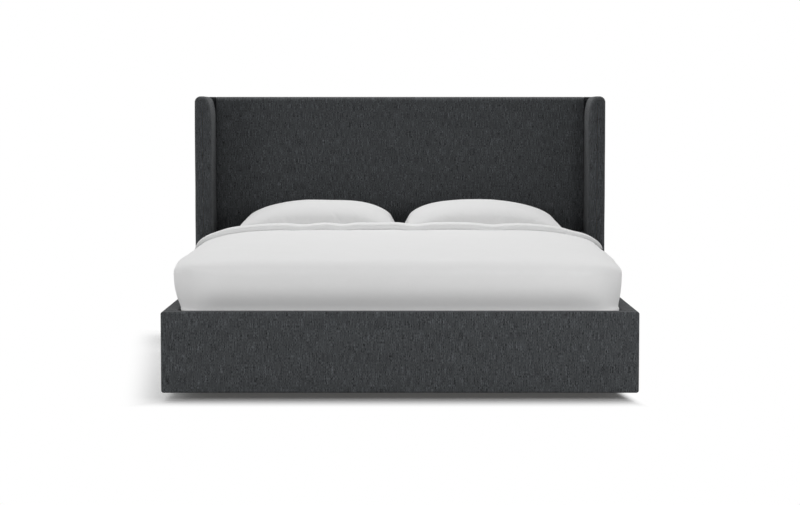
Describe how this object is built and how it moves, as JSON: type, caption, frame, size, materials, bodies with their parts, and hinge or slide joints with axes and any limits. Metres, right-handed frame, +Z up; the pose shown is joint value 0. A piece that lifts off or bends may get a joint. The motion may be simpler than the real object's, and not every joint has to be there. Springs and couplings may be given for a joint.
{
  "type": "upholstered bed",
  "caption": "Low upholstered bed with padded rails, a tall winged headboard, slatted base, mattress, duvet with a turned-back band and pillows.",
  "frame": {"origin": "on the floor under the middle of the bed's overall length and width", "axes": "+X to the right as seen from the foot, +Y from the foot to the headboard, +Z up"},
  "size_m": [1.832, 2.208, 1.09],
  "materials": {
    "upholstery": "heathered woven fabric",
    "foam": "open-cell foam",
    "timber": "planed softwood",
    "plywood": "sanded plywood",
    "steel": "satin powder coat",
    "black_plastic": "fine grain",
    "back_lining": "non-woven lining on hardboard",
    "mattress_fabric": "knitted ticking",
    "sheet_cotton": "plain cotton",
    "duvet_cotton": "plain cotton percale",
    "pillow_cotton": "plain cotton percale"
  },
  "bodies": {
    "bedstead": {"footboard_cover": "upholstery", "rail_left_cover": "upholstery", "rail_right_cover": "upholstery", "headboard_cover": "upholstery", "wing_left_cover": "upholstery", "wing_right_cover": "upholstery", "footboard_foam": "foam", "rail_left_foam": "foam", "rail_right_foam": "foam", "headboard_foam": "foam", "wing_left_foam": "foam", "wing_right_foam": "foam", "footboard_board": "timber", "rail_left_board": "timber", "rail_right_board": "timber", "ledger_left": "timber", "ledger_right": "timber", "centre_beam": "timber", "headboard_stile_left": "timber", "headboard_stile_right": "timber", "headboard_top_rail": "timber", "headboard_lower_rail": "timber", "slat_1": "timber", "slat_2": "timber", "slat_3": "timber", "slat_4": "timber", "slat_5": "timber", "slat_6": "timber", "slat_7": "timber", "slat_8": "timber", "slat_9": "timber", "slat_10": "timber", "slat_11": "timber", "headboard_panel": "plywood", "wing_left_board": "plywood", "wing_right_board": "plywood", "corner_bracket_front_left": "steel", "corner_bracket_front_right": "steel", "corner_bracket_rear_left": "steel", "corner_bracket_rear_right": "steel", "frame_bolts": "steel", "beam_hanger_front": "steel", "beam_hanger_rear": "steel", "centre_leg_front": "steel", "centre_leg_middle": "steel", "centre_leg_rear": "steel", "foot_front_left": "black_plastic", "foot_front_right": "black_plastic", "foot_rear_left": "black_plastic", "foot_rear_right": "black_plastic", "headboard_back_panel": "back_lining"},
    "mattress": {"mattress": "mattress_fabric", "fitted_sheet": "sheet_cotton"},
    "duvet": {"duvet": "duvet_cotton"},
    "pillow_left": {"pillow_left": "pillow_cotton"},
    "pillow_right": {"pillow_right": "pillow_cotton"},
    "leveller_front": {"leveller_front": "black_plastic"},
    "leveller_middle": {"leveller_middle": "black_plastic"},
    "leveller_rear": {"leveller_rear": "black_plastic"}
  },
  "joints": [
    {"name": "mattress_lift", "type": "slide", "parent": "bedstead", "child": "mattress", "axis": [0, 0, 1], "range_m": [0, 0.4]},
    {"name": "duvet_lift", "type": "slide", "parent": "mattress", "child": "duvet", "axis": [0, 0, 1], "range_m": [0, 0.3]},
    {"name": "pillow_left_lift", "type": "slide", "parent": "mattress", "child": "pillow_left", "axis": [0, 0, 1], "range_m": [0, 0.3]},
    {"name": "pillow_right_lift", "type": "slide", "parent": "mattress", "child": "pillow_right", "axis": [0, 0, 1], "range_m": [0, 0.3]},
    {"name": "leveller_front_screw", "type": "slide", "parent": "bedstead", "child": "leveller_front", "axis": [0, 0, 1], "range_m": [0, 0.012]},
    {"name": "leveller_middle_screw", "type": "slide", "parent": "bedstead", "child": "leveller_middle", "axis": [0, 0, 1], "range_m": [0, 0.012]},
    {"name": "leveller_rear_screw", "type": "slide", "parent": "bedstead", "child": "leveller_rear", "axis": [0, 0, 1], "range_m": [0, 0.012]}
  ]
}
